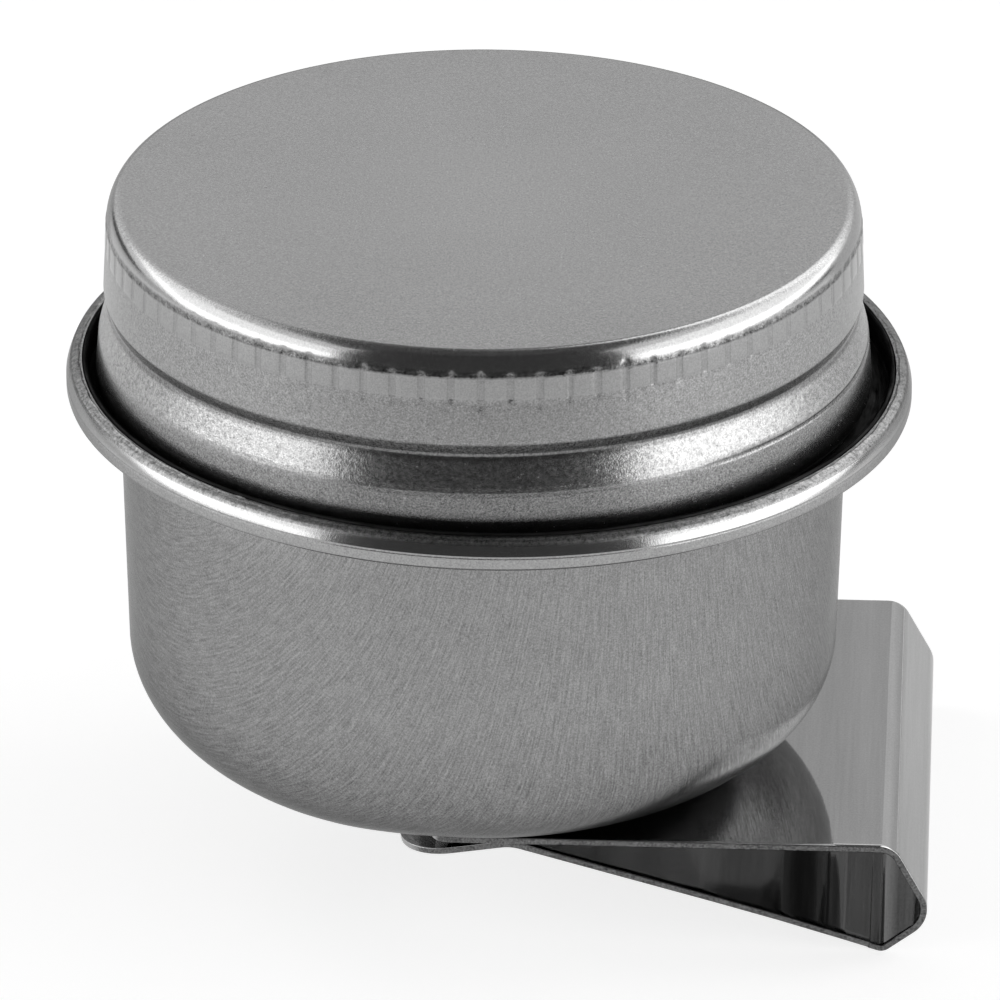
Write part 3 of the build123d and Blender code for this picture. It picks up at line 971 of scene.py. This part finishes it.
softBox("softBoxRight", studio["rightBox"], 0, 1, studio["boxStrength"])
softBox("softBoxRightTop", studio["rightBox"], 1, 2, studio["upperStrength"])
softBox("softBoxBack", studio["rearBox"], 0, 1, studio["backBox"], False)
softBox("softBoxLeft", studio["leftBox"], 0, 1, studio["leftStrength"])
softBox("softBoxLeftTop", studio["leftBox"], 1, 2, studio["upperStrength"])
card("frontShade", [[seenAt(turn, rise, studio["frontFar"] / math.cos(math.radians(rise)))
                     for rise in studio["frontRises"]]
                    for turn in range(-40, 41, 10)], studio["frontShade"])
card("topShade", [[Vector((x, y, studio["topZ"])) for x in (-reach, reach)]
                  for y, reach in studio["topRows"]], studio["topShade"])
gapCard("leftGapShade", studio["leftGap"])
gapCard("rightGapShade", studio["rightGap"])
backCard("backShade", studio["backX"][:2], studio["backShade"])
backCard("cornerShade", studio["backX"][1:], studio["cornerShade"])


# the rays that show the backdrop, straight or in metal or glass, and the camera's own
def seenRays(tree):
    rays = addNode(tree, "LightPath").outputs
    mirrored = maths(tree, "MAXIMUM", rays["Is Glossy Ray"], rays["Is Transmission Ray"])
    return maths(tree, "MAXIMUM", rays["Is Camera Ray"], mirrored), rays["Is Camera Ray"]


floorMesh = bpy.data.meshes.new("paleFloor")
ringPoints = [(studio["floorR"] * math.cos(a), studio["floorR"] * math.sin(a), studio["floorZ"])
              for a in np.linspace(0, 2 * math.pi, 96, endpoint=False)]
floorMesh.from_pydata(ringPoints, [], [list(range(96))])
floorPiece = bpy.data.objects.new("paleFloor", floorMesh)
bpy.context.scene.collection.objects.link(floorPiece)
floorMaterial, tree, shader, where = newMaterial("paleFloor")
speckle = noiseAt(tree, where, 400, 2.0)
tree.links.new(greyMix(tree, tone(studio["floorTone"]), tone(studio["floorTone"] + 0.01), speckle),
               shader.inputs["Base Color"])
shader.inputs["Roughness"].default_value = 0.9
shader.inputs["Specular IOR Level"].default_value = 0.1
seen, byCamera = seenRays(tree)
glow = addNode(tree, "Emission", Strength=total(
    tree, scaled(tree, seen, studio["floorGlow"]), scaled(tree, byCamera, studio["cameraGlow"])))
both = addNode(tree, "AddShader", i0=shader.outputs[0], i1=glow.outputs[0])
tree.links.new(both.outputs[0], tree.nodes["Material Output"].inputs[0])
floorMesh.materials.append(floorMaterial)

world = bpy.data.worlds.new("paleStudio")
world.use_nodes = True
bpy.context.scene.world = world
tree = world.node_tree
tree.nodes.clear()
seen = seenRays(tree)[0]
level = total(tree, studio["worldDiffuse"], scaled(tree, seen, 1.0 - studio["worldDiffuse"]))
glow = addNode(tree, "Background", Strength=level, Color=(1, 1, 1, 1))
tree.links.new(glow.outputs[0], addNode(tree, "OutputWorld").inputs[0])
print("studio made")

# camera: azimuth, elevation and roll in degrees, the rest in metres and the lens in mm
cameraView = dict(target=(0.000874, 0.000039, 0.014153), azimuth=2.538, elevation=25.782,
                  roll=0.192, distance=0.6, lens=411.93)
turn, rise = math.radians(cameraView["azimuth"]), math.radians(cameraView["elevation"])
back = Vector((math.sin(turn) * math.cos(rise), -math.cos(turn) * math.cos(rise), math.sin(rise)))
cameraData = bpy.data.cameras.new("productCamera")
cameraData.sensor_width = 36.0
cameraData.lens = cameraView["lens"]
cameraData.clip_start = 0.01
cameraData.clip_end = 20.0
camera = bpy.data.objects.new("productCamera", cameraData)
bpy.context.scene.collection.objects.link(camera)
camera.rotation_mode = "QUATERNION"
camera.location = Vector(cameraView["target"]) + back * cameraView["distance"]
camera.rotation_quaternion = (-back).to_track_quat("-Z", "Y") @ Quaternion(
    (0, 0, 1), math.radians(cameraView["roll"]))
bpy.context.scene.camera = camera
bpy.context.scene.view_settings.view_transform = "Standard"
print("camera made")
